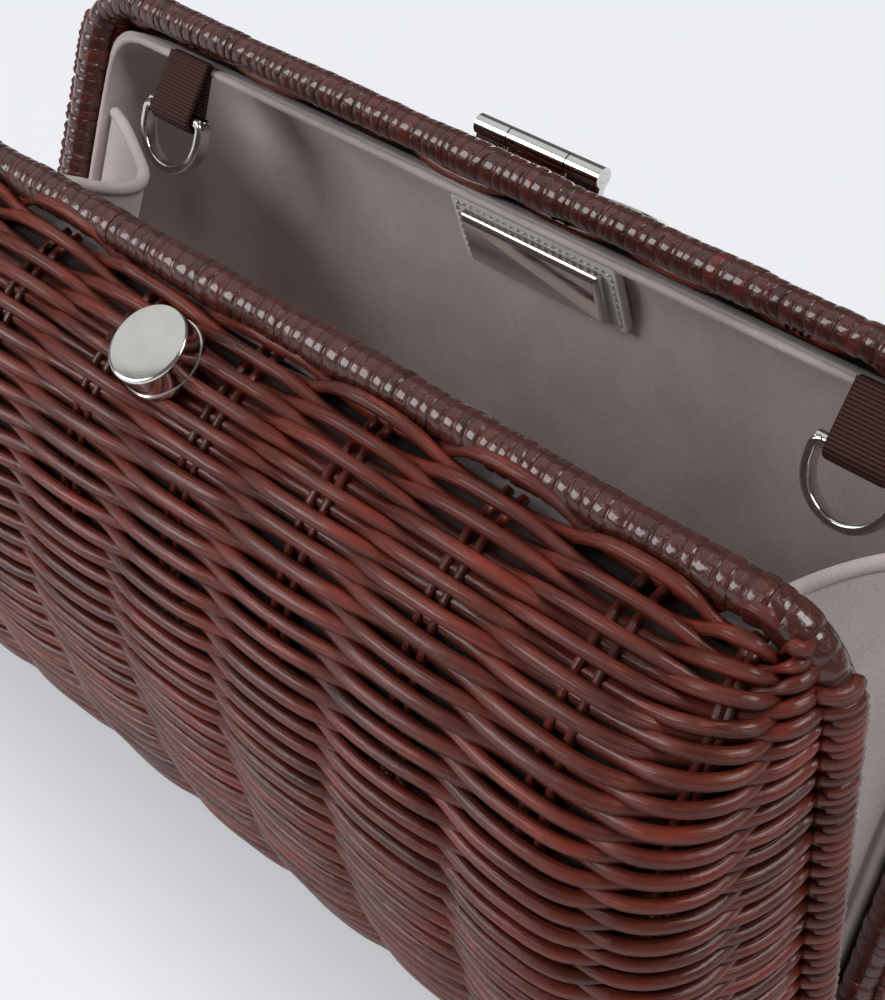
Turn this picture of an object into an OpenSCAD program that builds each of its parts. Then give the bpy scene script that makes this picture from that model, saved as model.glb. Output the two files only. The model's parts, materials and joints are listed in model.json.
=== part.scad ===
// Wicker box clutch: two woven half shells hinged along their bottom rims, standing open.
// Each half is drawn in its own frame, with its bottom rim rod along X at the origin,
// Y pointing out of the bag (depth) and Z up the half (height), then stood on the floor.

/* [Rims] */
// Length of each rim, between the rod's centrelines
rim_l = 200; // [160:1:240]
// Height of each rim, between the rod's centrelines
rim_h = 103.5; // [90:0.5:125]
// Diameter of the wrapped rim rod
rim_d = 7.5; // [5:0.1:9]
// Radius of the rim's corners, on the centreline
rim_corner_r = 10; // [7:0.5:16]
// Gap between the two bottom rods
rod_gap = 0.5; // [0.3:0.1:1.5]
// Angle between the two rims as the bag stands open
open_angle = 27.4; // [20:0.2:40]

/* [Wicker] */
// Depth of each half, from the rim's plane to the middle of the weave
shell_depth = 31; // [24:0.5:40]
// Height at which the wall is deepest
belly_h = 50; // [40:1:60]
// How far the weave's crown lies under the top rim's centreline
crown_drop = 2; // [1:0.25:4]
// How far the weave's bottom lies under the bottom rod's centreline
sole_drop = 2; // [0:0.25:3]
// Radius of the bottom's front edge
sole_r = 14; // [8:0.5:20]
// Squareness of the shoulder: 2 is an ellipse
shoulder_n = 2.4; // [2:0.1:3.2]
// How far the rounded end corners reach along the length
end_corner = 20; // [12:0.5:30]
// Distance from one pair of stakes to the next
stake_pitch = 22; // [16:0.5:30]
// Distance between the rows of weave
row_pitch = 1.85; // [1.5:0.05:3]
// How far a row swings out over the stakes and back behind them
weave_swing = 1.2; // [0.6:0.1:1.6]
// Thickness of the weave inside its middle line
weave_back = 2.2; // [1.8:0.1:3]

/* [Lining] */
// Thickness of the suede-covered lining
lining_t = 1.6; // [1:0.1:2.5]
// Room between the weave's crests and the lining
lining_gap = 1; // [0.6:0.1:2]
// Room between the rim rod and the lining's lip
lip_gap = 0.4; // [0.3:0.1:1]
// How far the lining's end corners reach along the length
lining_corner = 19; // [10:0.5:26]
// Thickness of a gusset
gusset_t = 1.2; // [0.8:0.1:2]
// Height up the rim at which a gusset's top edge is sewn
gusset_h = 82; // [60:1:88]
// How far a gusset's fold reaches in from the end
gusset_fold = 20; // [12:0.5:26]
// How much lower the fold's top lies than the sewn edge
gusset_dip = 6; // [3:0.5:12]
// How far a gusset's top edge arches up between the fold and a seam
gusset_arch = 4; // [0:0.5:6]
// Where the left fold has settled between the halves, from the back one's seam
left_fold_share = 0.28; // [0.2:0.02:0.8]
// Where the right fold has settled between the halves, from the back one's seam
right_fold_share = 0.5; // [0.2:0.02:0.8]

/* [Hinge bindings] */
// Number of cane bindings that tie the two bottom rods
bindings = 4; // [2:1:6]
// Distance from one binding to the next
binding_pitch = 44; // [24:1:48]
// Width of a binding
binding_w = 9; // [6:0.5:14]
// Thickness of a binding
binding_t = 1; // [0.6:0.1:1.4]
// Running clearance between a binding and the rods
binding_clear = 0.08; // [0.05:0.01:0.1]

/* [Knob] */
// Diameter of the knob's head
knob_d = 12.5; // [11:0.25:15]
// Height of the knob over the weave
knob_h = 4.4; // [3:0.1:6]
// Depth at which the knob stands on the front shoulder
knob_at = 12; // [11.5:0.25:15]
// Diameter of the screw that holds the knob
knob_screw_d = 3; // [2:0.25:4]

/* [Hasp] */
// Depth of the hasp's hinge pin behind the back rim
hasp_at = 7.5; // [7:0.25:10]
// Height of the hasp's hinge pin over the top rim's centreline
hasp_rise = 3.5; // [3:0.25:5]
// Diameter of the hinge knuckles
knuckle_d = 3.4; // [3:0.1:4]
// Diameter of the hinge pin
hasp_pin_d = 1.6; // [1.2:0.1:2]
// Width of the hasp's base plate
hasp_plate_w = 26; // [20:0.5:34]
// Width of the hasp's strap
hasp_w = 12; // [9:0.5:14]
// Thickness of the hasp's metal
hasp_t = 1.4; // [1:0.1:1.6]
// Width of the ring round the hasp's eye
eye_rim = 2; // [1.6:0.1:3]
// Room between the knob and the hasp's eye
eye_clear = 0.8; // [0.6:0.1:1.5]

/* [Strap rings and tabs] */
// Distance of each tab from the end of the rim
tab_inset = 27.3; // [18:0.1:40]
// Width of a grosgrain tab
tab_w = 10; // [8:0.5:14]
// Thickness of the grosgrain ribbon
tab_t = 0.9; // [0.6:0.1:1.2]
// Distance from the rim's underside to the ring's bar
tab_drop = 11; // [9:0.5:16]
// How far the bar hangs inwards of the rim's plane
tab_lean = 2.2; // [1:0.1:4]
// Outer width of a strap ring
ring_w = 16; // [14:0.5:20]
// Band width of a strap ring, across the ring
ring_band = 3; // [2:0.1:4]
// Metal thickness of a strap ring
ring_t = 1.6; // [1.2:0.1:2]
// Diameter of a strap ring's straight bar
ring_bar_d = 2.4; // [1.8:0.1:3]

/* [Label] */
// Depth of the label's middle on the back lining
label_at = 17; // [14:0.5:19]
// Length of the label's stitched patch
patch_l = 36; // [28:0.5:44]
// Height of the label's stitched patch
patch_h = 15; // [12:0.5:18]
// Thickness of the patch
patch_t = 0.8; // [0.5:0.1:1.2]
// Length of the label's metal plate
plate_l = 30; // [22:0.5:34]
// Height of the label's metal plate
plate_h = 11; // [8:0.5:12]
// Thickness of the metal plate
plate_t = 2; // [1:0.1:3]
// Width of the plate's bevel
plate_bevel = 0.8; // [0.4:0.1:1.2]

/* [Hidden] */
$fn = 48;
eps = 0.01;
soft_gap = 0.3;
rim_r = rim_d / 2;
half_l = rim_l / 2;
rod_pitch = rim_d + rod_gap;
binding_r = rim_r + binding_clear;
binding_ro = binding_r + binding_t;
rod_room = binding_ro + soft_gap;
weave_edge = rim_r + soft_gap;
crown = rim_h - crown_drop;

// A half's section: the shoulder's superellipse from the crown to the belly, then the wall, the
// round bottom edge and the sole. Every point is [depth, height], and edge_lo and edge_hi are the
// depths at which the section starts under the top rim and ends beside the bottom rod. The sole
// climbs by rise towards that rod.
function bow(u, n) = pow(max(0, 1 - pow(u, n)), 1 / n);
function section(depth, top, mid, foot, r, edge_hi, edge_lo, rise = 0) = concat(
    [for (i = [0:24])
        let (d = edge_hi + (depth - edge_hi) * sin(90 * i / 24))
        [d, mid + (top - mid) * bow(d / depth, shoulder_n)]],
    [for (a = [0:10:90]) [depth - r + r * cos(a), foot + r - r * sin(a)]],
    [[edge_lo, foot + rise]]);
function run(p, i = 0, s = 0) =
    i == len(p) - 1 ? [s] : concat([s], run(p, i + 1, s + norm(p[i + 1] - p[i])));
function span(p) = let (k = run(p)) k[len(k) - 1];
function resample(p, n) = let (k = run(p), l = k[len(k) - 1],
    td = [for (i = [0:len(p) - 1]) [k[i], p[i][0]]],
    th = [for (i = [0:len(p) - 1]) [k[i], p[i][1]]])
    [for (i = [0:n]) [lookup(l * i / n, td), lookup(l * i / n, th)]];

// The rim's half length at a given height, round its corners
function rim_reach(l, h, lo, hi, r) =
    let (over = max(0, max(h - (hi - r), (lo + r) - h)))
    l - r + sqrt(max(0, r * r - min(over, r) * min(over, r)));

// Places along a row: a share of the straight front, then a turn of 0 to 90 degrees round an end
front_stakes = floor((half_l - end_corner) / stake_pitch + 0.5);
straight = (front_stakes - 0.5) * stake_pitch;
steps_per_stake = 2;
end_steps_per_stake = 4;
front_steps = (2 * front_stakes - 1) * steps_per_stake;
end_stakes = 2;
end_steps = end_stakes * end_steps_per_stake;
function places(front, ends) = concat(
    [for (i = [0:ends - 1]) [-1, 90 * i / ends]],
    [for (i = [0:front]) [2 * i / front - 1, 90]],
    [for (i = [ends - 1:-1:0]) [1, 90 * i / ends]]);
corner_bow = 0.8;
function place_point(q, d, h, reach, flat, edge) =
    [q[0] * flat + sign(q[0]) * (q[1] < 90 ? (reach - flat) * pow(cos(q[1]), corner_bow) : 0),
     min(edge, d) + (d - min(edge, d)) * pow(sin(q[1]), corner_bow), h];
function net(sec, qs, l, lo, hi, r, flat, edge) =
    [for (p = sec) let (reach = rim_reach(l, p[1], lo, hi, r))
        [for (q = qs) place_point(q, p[0], p[1], reach, flat, edge)]];
function unit(v) = v / max(norm(v), 1e-6);
function clip(i, n) = max(0, min(n, i));
function normal_at(g, i, j) = let (n = len(g) - 1, m = len(g[0]) - 1)
    unit(cross(g[i][clip(j + 1, m)] - g[i][clip(j - 1, m)],
               g[clip(i + 1, n)][j] - g[clip(i - 1, n)][j]));

// A closed wall between a fine outer net and an inner net that keeps every step-th row
module wall(outer, inner, step) {
    n = len(outer) - 1;
    m = len(outer[0]) - 1;
    k = len(inner) - 1;
    first = (n + 1) * (m + 1);
    function o(i, j) = i * (m + 1) + j;
    function q(i, j) = first + i * (m + 1) + j;
    half = floor(step / 2);
    function fan(i, j) = concat(
        [for (s = [0:step - 1]) [o(i * step + s, j), o(i * step + s + 1, j), q(s < half ? i : i + 1, j)]],
        [[q(i, j), o(i * step + half, j), q(i + 1, j)]]);
    function back(t) = [for (f = t) [f[2], f[1], f[0]]];
    faces = concat(
        [for (i = [0:n - 1], j = [0:m - 1], t = [0, 1])
            t == 0 ? [o(i, j), o(i, j + 1), o(i + 1, j)] : [o(i, j + 1), o(i + 1, j + 1), o(i + 1, j)]],
        [for (i = [0:k - 1], j = [0:m - 1], t = [0, 1])
            t == 0 ? [q(i, j), q(i + 1, j), q(i, j + 1)] : [q(i, j + 1), q(i + 1, j), q(i + 1, j + 1)]],
        [for (j = [0:m - 1], t = [0, 1])
            t == 0 ? [o(0, j), q(0, j), o(0, j + 1)] : [o(0, j + 1), q(0, j), q(0, j + 1)]],
        [for (j = [0:m - 1], t = [0, 1])
            t == 0 ? [o(n, j), o(n, j + 1), q(k, j)] : [o(n, j + 1), q(k, j + 1), q(k, j)]],
        [for (i = [0:k - 1], t = fan(i, 0)) t],
        [for (i = [0:k - 1], t = back(fan(i, m))) t]);
    polyhedron(points = concat([for (r = outer, p = r) p], [for (r = inner, p = r) p]), faces = back(faces));
}

// The weave's middle surface, its rows and its wave over and behind the stakes
inner_step = 4;
edge_swing = 0.3;
weave_section = section(shell_depth, crown, belly_h, -sole_drop, sole_r, weave_edge, rod_room);
rows = inner_step * round(span(weave_section) / row_pitch / inner_step);
weave_rows = resample(weave_section, rows);
weave_places = places(front_steps, end_steps);
function weave_phase(q) = q[0] * straight + sign(q[0]) * (1 - q[1] / 90) * end_stakes * stake_pitch;
weave_net = net(weave_rows, weave_places, half_l, 0, rim_h, rim_corner_r, straight, weave_edge);
function woven(out) = [for (i = [0:len(weave_net) - 1]) [for (j = [0:len(weave_places) - 1])
    let (turn = (i % 2 == 0 ? 1 : -1) * sin(180 * weave_phase(weave_places[j]) / stake_pitch),
         calm = (i == 0 || i == len(weave_net) - 1) ? edge_swing : 1)
    weave_net[i][j] + out * calm * turn * normal_at(weave_net, i, j)]];
function weave_inside() = [for (i = [0:inner_step:rows])
    [for (j = [0:len(weave_places) - 1]) weave_net[i][j] - weave_back * normal_at(weave_net, i, j)]];

module weave() wall(woven(weave_swing), weave_inside(), inner_step);

// Where something stands on the shoulder: a point of the section and the angle of its slope
function shoulder(depth, top, mid, d) = mid + (top - mid) * bow(d / depth, shoulder_n);
slope_step = 0.1;
function slope(depth, top, mid, d) =
    atan2(shoulder(depth, top, mid, d - slope_step) - shoulder(depth, top, mid, d + slope_step),
          2 * slope_step);
knob_z = shoulder(shell_depth, crown, belly_h, knob_at);
knob_tilt = slope(shell_depth, crown, belly_h, knob_at);
module at_knob() translate([0, knob_at, knob_z]) rotate([-knob_tilt, 0, 0]) children();

// How the two halves stand: the tilt at which both bottoms touch the floor together
function low(p, tilt) = min([for (q = p) q[1] * cos(tilt) - q[0] * sin(tilt)]) - weave_swing;
function reach_out(p, tilt) = max([for (q = p) q[0] * cos(tilt) + q[1] * sin(tilt)]) + weave_swing;
function lift(tilt) = low(weave_rows, tilt) - low(weave_rows, open_angle - tilt)
    + rod_pitch * sin(open_angle - tilt);
function level(a, b, n) = n == 0 ? (a + b) / 2 : let (c = (a + b) / 2)
    lift(c) > 0 ? level(c, b, n - 1) : level(a, c, n - 1);
back_tilt = level(0, open_angle, 30);
front_tilt = open_angle - back_tilt;
stand_z = -low(weave_rows, back_tilt);

// The hasp, laid out closed over the knob, from its pin
hasp_z = rim_h + hasp_rise;
eye_r = knob_d / 2 + eye_clear;
eye_ro = eye_r + eye_rim;
eye_share = 0.45;
eye_lift = eye_share * knob_h;
eye_at = [-rod_pitch - knob_at - eye_lift * sin(knob_tilt) - hasp_at,
          knob_z + eye_lift * cos(knob_tilt) - hasp_z];
over_rims = rim_r + soft_gap + hasp_t / 2 - hasp_rise;
eye_edge = eye_at + (eye_r + eye_rim / 2) * [cos(knob_tilt), sin(knob_tilt)];
hasp_path = [[0, 0], [-over_rims, over_rims],
    [eye_edge[0] + (over_rims - eye_edge[1]), over_rims], eye_edge];
hasp_rest = weave_swing + soft_gap + over_rims + hasp_t / 2;
function rest_angle(v) = atan2(-v[1], v[0]) - asin(min(1, hasp_rest / norm(v)));
hasp_fold = min([for (q = weave_rows) if (q[0] > hasp_at + knuckle_d && q[1] > belly_h)
    rest_angle(q - [hasp_at, hasp_z])]);
hasp_turn = 180 - hasp_fold;
hasp_tip = eye_at - eye_ro * [cos(knob_tilt), sin(knob_tilt)];
hasp_far = [hasp_at + hasp_tip[0] * cos(hasp_turn) - hasp_tip[1] * sin(hasp_turn),
            hasp_z + hasp_tip[0] * sin(hasp_turn) + hasp_tip[1] * cos(hasp_turn)];
back_reach = max(reach_out(weave_rows, back_tilt),
    hasp_far[0] * cos(back_tilt) + hasp_far[1] * sin(back_tilt));
front_reach = reach_out(weave_rows, front_tilt) + rod_pitch * cos(front_tilt);
stand_y = (front_reach - back_reach) / 2;

module in_back() translate([0, stand_y, stand_z]) rotate([-back_tilt, 0, 0]) children();
module in_front() translate([0, stand_y, stand_z]) rotate([front_tilt, 0, 0])
    translate([0, -rod_pitch, 0]) mirror([0, 1, 0]) children();
function from_back(p) = [p[0], stand_y + p[1] * cos(back_tilt) + p[2] * sin(back_tilt),
    stand_z - p[1] * sin(back_tilt) + p[2] * cos(back_tilt)];
function from_front(p) = let (y = -rod_pitch - p[1])
    [p[0], stand_y + y * cos(front_tilt) - p[2] * sin(front_tilt),
     stand_z + y * sin(front_tilt) + p[2] * cos(front_tilt)];

cane = [0.30, 0.15, 0.13];
suede = [0.52, 0.49, 0.47];
nickel = [0.83, 0.83, 0.84];
ribbon = [0.23, 0.14, 0.12];

// A rim: a wrapped rod bent into a rounded rectangle
module rim() color(cane) {
    for (z = [0, rim_h])
        translate([-(half_l - rim_corner_r), 0, z]) rotate([0, 90, 0])
            cylinder(d = rim_d, h = rim_l - 2 * rim_corner_r);
    for (x = [-half_l, half_l])
        translate([x, 0, rim_corner_r]) cylinder(d = rim_d, h = rim_h - 2 * rim_corner_r);
    for (c = [[1, 1, 0], [-1, 1, 90], [-1, -1, 180], [1, -1, 270]])
        translate([c[0] * (half_l - rim_corner_r), 0, c[1] > 0 ? rim_h - rim_corner_r : rim_corner_r])
            rotate([90, 0, 0]) rotate([0, 0, c[2]])
                rotate_extrude(angle = 90) translate([rim_corner_r, 0]) circle(d = rim_d);
}

// A lining: a stiff suede-covered tray whose lip lies just inside the rim
lining_l = half_l - rim_r - lip_gap;
lining_top = crown - weave_back - lining_gap;
lining_depth = shell_depth - weave_back - lining_gap;
lining_foot = binding_ro + 2 * soft_gap;
lining_corner_r = rim_corner_r - rim_r;
lining_rows = 16;
lining_turns = 6;
lip_round = 0.4;
lining_swell = 0.002;
function swelled(p) =
    [p[0] * (1 + lining_swell * sin(180 * (p[2] - lining_foot) / (lining_top - lining_foot))), p[1], p[2]];
sole_rise = 0.8;
function lining_section(t, lip) = resample(
    section(lining_depth - t, lining_top - t, belly_h, lining_foot + t, sole_r - t, lip, lip, sole_rise),
    lining_rows);
function lining_skin(t, lip) = [for (row = net(
    lining_section(t, lip), places(1, lining_turns), lining_l - t, lining_foot + t, lining_top - t,
    lining_corner_r, lining_l - lining_corner, lip)) [for (p = row) swelled(p)]];
module lining() color(suede) wall(lining_skin(0, 0), lining_skin(lining_t, lip_round), 1);

module back_wicker() color(cane) in_back() difference() {
    weave();
    hasp_rivet_places() cylinder(d = rivet_d + 2 * soft_gap, h = 4 * rivet_l, center = true);
}
module back_rim() in_back() rim();
module back_lining() in_back() lining();

module front_wicker() color(cane) in_front() difference() {
    weave();
    at_knob() cylinder(d = knob_screw_d + 2 * soft_gap, h = 4 * weave_back, center = true);
}
module front_rim() in_front() rim();
module front_lining() in_front() lining();

// The knob: a polished drum with a thin base ring, held by a screw and washer behind the weave
base_ring_h = 0.9;
base_ring_groove = 0.5;
knob_seat = weave_swing * sin(90 * knob_d / stake_pitch) + soft_gap / 2;
washer_d = 1.6 * knob_screw_d;
washer_t = 0.3;
washer_z = -weave_back - 2 * soft_gap;
module knob() color(nickel) in_front() at_knob() translate([0, 0, knob_seat]) {
    cylinder(d = knob_d - 2 * base_ring_groove, h = knob_h - base_ring_groove);
    cylinder(d = knob_d, h = base_ring_h);
    translate([0, 0, base_ring_h + base_ring_groove])
        cylinder(d = knob_d, h = knob_h - base_ring_h - 2 * base_ring_groove);
    translate([0, 0, knob_h - base_ring_groove])
        cylinder(d1 = knob_d, d2 = knob_d - 2 * base_ring_groove, h = base_ring_groove);
}
module knob_screw() color(nickel) in_front() at_knob() {
    translate([0, 0, washer_z - washer_t]) cylinder(d = washer_d, h = washer_t);
    translate([0, 0, washer_z - eps]) cylinder(d = knob_screw_d, h = knob_seat - washer_z + eps);
}

// The hasp's base plate: two feet riveted to the back shoulder and joined by a bridge, with a
// knuckle on each
knuckle_gap = 0.25;
knuckle_l = (hasp_plate_w - hasp_w) / 2 - knuckle_gap;
pin_clear = 0.03;
rivet_d = 2;
rivet_head_d = 3.6;
rivet_head_h = 0.8;
rivet_share = 0.6;
rivet_l = hasp_t + weave_swing + weave_back + 2 * soft_gap;
foot_run = 10;
bridge_w = 2.4;
bridge_t = hasp_t / 2;
foot_z = shoulder(shell_depth, crown, belly_h, hasp_at + foot_run / 2) + weave_swing + soft_gap + hasp_t;
foot_tilt = slope(shell_depth, crown, belly_h, hasp_at + foot_run / 2);
riser_z = foot_z + (foot_run / 2 - hasp_t) * tan(foot_tilt) - hasp_t / 2;
module hasp_rivet_places() for (s = [-1, 1])
    translate([s * (hasp_plate_w - knuckle_l) / 2, hasp_at + foot_run / 2, foot_z])
        rotate([-foot_tilt, 0, 0]) translate([0, (rivet_share - 0.5) * foot_run, 0]) children();
module hasp_plate() color(nickel) in_back() difference() {
    union() {
        translate([-hasp_plate_w / 2, hasp_at + foot_run / 2, foot_z]) rotate([-foot_tilt, 0, 0])
            translate([0, -foot_run / 2, -hasp_t]) cube([hasp_plate_w, bridge_w, bridge_t]);
        for (s = [-1, 1]) translate([s * (hasp_plate_w - knuckle_l) / 2 - knuckle_l / 2, 0, 0]) {
            translate([0, hasp_at, hasp_z]) rotate([0, 90, 0]) cylinder(d = knuckle_d, h = knuckle_l);
            translate([0, hasp_at + foot_run / 2, foot_z]) rotate([-foot_tilt, 0, 0])
                translate([0, -foot_run / 2, -hasp_t]) cube([knuckle_l, foot_run, hasp_t]);
            translate([0, hasp_at - hasp_t / 4, riser_z]) cube([knuckle_l, hasp_t, hasp_z - riser_z]);
        }
    }
    translate([-hasp_plate_w, hasp_at, hasp_z]) rotate([0, 90, 0])
        cylinder(d = hasp_pin_d + 2 * pin_clear, h = 2 * hasp_plate_w);
    hasp_rivet_places() cylinder(d = rivet_d + 2 * pin_clear, h = 4 * hasp_t, center = true);
}
module hasp_rivets() color(nickel) in_back() hasp_rivet_places() {
    cylinder(d = rivet_head_d, h = rivet_head_h);
    translate([0, 0, -rivet_l]) cylinder(d = rivet_d, h = rivet_l + eps);
}
module hasp_pin() color(nickel) in_back()
    translate([-hasp_plate_w / 2, hasp_at, hasp_z]) rotate([0, 90, 0])
        cylinder(d = hasp_pin_d, h = hasp_plate_w);

// The hasp's arm: a strap bent over both rims, with a knuckle and a round eye for the knob
module strip(path, t) for (i = [0:len(path) - 2]) let (v = path[i + 1] - path[i]) {
    translate(path[i]) rotate(atan2(v[1], v[0])) translate([0, -t / 2]) square([norm(v), t]);
    translate(path[i + 1]) circle(d = t);
}
module at_eye() translate([0, eye_at[0], eye_at[1]]) rotate([knob_tilt, 0, 0]) children();
module hasp_arm() color(nickel) in_back() translate([0, hasp_at, hasp_z]) rotate([hasp_turn, 0, 0])
    difference() {
        union() {
            translate([-hasp_w / 2, 0, 0]) rotate([90, 0, 90])
                linear_extrude(hasp_w) strip(hasp_path, hasp_t);
            translate([-hasp_w / 2, 0, 0]) rotate([0, 90, 0]) cylinder(d = knuckle_d, h = hasp_w);
            at_eye() cylinder(r = eye_ro, h = hasp_t, center = true);
        }
        at_eye() cylinder(r = eye_r, h = 4 * hasp_t, center = true);
        translate([-hasp_w, 0, 0]) rotate([0, 90, 0])
            cylinder(d = hasp_pin_d + 2 * pin_clear, h = 2 * hasp_w);
    }

// A binding: split cane wound round both bottom rods, fast on the front one
module binding_outline(r) {
    circle(r = r);
    translate([rod_pitch, 0]) circle(r = r);
    translate([0, -r]) square([rod_pitch, 2 * r]);
}
module hinge_binding(i) color(cane) in_front()
    translate([(i - (bindings - 1) / 2) * binding_pitch - binding_w / 2, 0, 0])
        rotate([90, 0, 90]) linear_extrude(binding_w) mirror([1, 0]) difference() {
            binding_outline(binding_ro);
            binding_outline(binding_r);
        }
module hinge_bindings() for (i = [0:bindings - 1]) hinge_binding(i);

// A tab: ribbon folded round the ring's bar, its two ends sewn together up under the back rim
tab_at = half_l - tab_inset;
bar_z = rim_h - rim_r - tab_drop;
fold_r = ring_bar_d / 2 + soft_gap;
fold_mid = fold_r + tab_t / 2;
sewn_share = 0.9;
sewn_d = -soft_gap - tab_t / 2;
tab_top = rim_h - rim_r - soft_gap - tab_t / 2;
module tab(side) color(ribbon) in_back() translate([side * tab_at - tab_w / 2, 0, 0]) rotate([90, 0, 90])
    linear_extrude(tab_w) {
        difference() {
            translate([-tab_lean, bar_z]) circle(r = fold_r + tab_t);
            translate([-tab_lean, bar_z]) circle(r = fold_r);
        }
        strip([[-tab_lean - fold_mid, bar_z], [sewn_d - sewn_share * tab_t, tab_top]], tab_t);
        strip([[-tab_lean + fold_mid, bar_z], [sewn_d, tab_top]], tab_t);
    }
module left_tab() tab(-1);
module right_tab() tab(1);

// A strap ring: a flat band bent to a D, closed by a round bar that turns in the tab's fold
ring_bow = ring_w / 2 - ring_t;
ring_leg = 3;
module ring_outline(r, top) {
    intersection() {
        translate([0, -ring_leg]) circle(r = r);
        translate([-r, -ring_leg - r]) square([2 * r, r]);
    }
    translate([-r, -ring_leg - eps]) square([2 * r, ring_leg + top + eps]);
}
module strap_ring(side) color(nickel) in_back() translate([side * tab_at, -tab_lean, bar_z]) {
    rotate([90, 0, 0]) linear_extrude(ring_band, center = true) difference() {
        ring_outline(ring_w / 2, ring_bar_d / 2);
        ring_outline(ring_bow, ring_bar_d);
    }
    translate([-(ring_w - ring_t) / 2, 0, 0]) rotate([0, 90, 0])
        cylinder(d = ring_bar_d, h = ring_w - ring_t);
}
module left_d_ring() strap_ring(-1);
module right_d_ring() strap_ring(1);

// The label: a stitched patch on the sloping back lining, with a bevelled plate on it
label_z = shoulder(lining_depth - lining_t, lining_top - lining_t, belly_h, label_at);
label_tilt = slope(lining_depth - lining_t, lining_top - lining_t, belly_h, label_at);
label_sag = 1.8;
module at_label() translate([0, label_at, label_z]) rotate([180 - label_tilt, 0, 0])
    translate([0, 0, label_sag]) children();
module label_patch() color(suede) in_back() at_label()
    translate([-patch_l / 2, -patch_h / 2, 0]) cube([patch_l, patch_h, patch_t]);
module label_plate() color(nickel) in_back() at_label() translate([0, 0, patch_t]) hull() {
    translate([-plate_l / 2, -plate_h / 2, 0]) cube([plate_l, plate_h, plate_t - plate_bevel]);
    translate([-plate_l / 2 + plate_bevel, -plate_h / 2 + plate_bevel, 0])
        cube([plate_l - 2 * plate_bevel, plate_h - 2 * plate_bevel, plate_t]);
}

// A gusset: a suede panel across one end, folded inwards, sewn to both linings
gusset_steps = 8;
gusset_inset = gusset_t / 2 + 3 * soft_gap;
gusset_foot = lining_foot + lining_t + 2 * gusset_t;
gusset_seam = 1;
gusset_belly = 1.5;
module gusset(side, share) {
    function lerp(a, b, t) = a + (b - a) * t;
    function ribbon_at(k) = let (t = k / gusset_steps,
        h = lerp(gusset_foot, gusset_h, t),
        x = side * (rim_reach(lining_l - lining_t, h, lining_foot + lining_t, rim_h, lining_corner_r)
            - gusset_inset),
        b = from_back([x, gusset_seam, h]),
        f = from_front([x, gusset_seam, h]),
        bulge = [side * gusset_belly * t, 0, gusset_arch * t],
        fold = lerp(b, f, share) - [side * gusset_fold * sqrt(t), 0, gusset_dip * t])
        [b, (b + fold) / 2 + bulge, fold, (fold + f) / 2 + bulge, f];
    net_in = [for (k = [0:gusset_steps]) [for (p = ribbon_at(k)) p - [gusset_t / 2, 0, 0]]];
    net_out = [for (k = [0:gusset_steps]) [for (p = ribbon_at(k)) p + [gusset_t / 2, 0, 0]]];
    color(suede) wall(net_in, net_out, 1);
}
module left_gusset() gusset(-1, left_fold_share);
module right_gusset() gusset(1, right_fold_share);

back_wicker();
back_rim();
back_lining();
front_wicker();
front_rim();
front_lining();
hinge_bindings();
knob();
knob_screw();
hasp_plate();
hasp_rivets();
hasp_pin();
hasp_arm();
left_tab();
right_tab();
left_d_ring();
right_d_ring();
label_patch();
label_plate();
left_gusset();
right_gusset();
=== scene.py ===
import json
import math

import bmesh
import bpy
import numpy as np
from mathutils import Matrix, Vector


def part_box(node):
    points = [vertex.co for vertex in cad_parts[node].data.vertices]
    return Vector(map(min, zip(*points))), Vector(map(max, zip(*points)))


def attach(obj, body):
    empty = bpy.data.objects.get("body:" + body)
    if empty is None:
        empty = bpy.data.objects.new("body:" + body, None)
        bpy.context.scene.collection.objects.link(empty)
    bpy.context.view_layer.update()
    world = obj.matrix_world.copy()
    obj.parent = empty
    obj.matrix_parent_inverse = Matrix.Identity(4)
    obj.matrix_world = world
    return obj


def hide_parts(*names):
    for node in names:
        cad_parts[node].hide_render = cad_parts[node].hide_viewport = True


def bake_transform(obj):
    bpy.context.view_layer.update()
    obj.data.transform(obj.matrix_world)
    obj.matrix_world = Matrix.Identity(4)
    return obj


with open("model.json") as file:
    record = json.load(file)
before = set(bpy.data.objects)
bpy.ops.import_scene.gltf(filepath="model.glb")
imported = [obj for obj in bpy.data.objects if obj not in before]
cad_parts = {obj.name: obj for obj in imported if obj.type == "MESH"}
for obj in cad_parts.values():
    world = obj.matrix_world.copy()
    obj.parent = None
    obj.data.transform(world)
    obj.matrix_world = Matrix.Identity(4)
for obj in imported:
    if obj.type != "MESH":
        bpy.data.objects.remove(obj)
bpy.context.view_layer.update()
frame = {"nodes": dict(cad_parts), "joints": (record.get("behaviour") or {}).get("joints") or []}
scene = bpy.context.scene
scene.view_settings.view_transform = "Standard"
MM = 0.001


# The camera looks down at the open bag from its front right, close enough that both ends run
# out of the picture. Its place is kept from the hinge, where the two bottom rods meet.
hinge_at = next(j for j in frame["joints"] if j["name"] == "half_hinge")["pos_m"]
camera_at = Vector(hinge_at) + Vector((0.16782, -0.16940, 0.22699))
camera_azimuth = math.radians(41.79)
camera_elevation = math.radians(36.43)
camera_roll = math.radians(3.34)
focal_in_heights = 1.8258
sensor = 36

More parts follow.
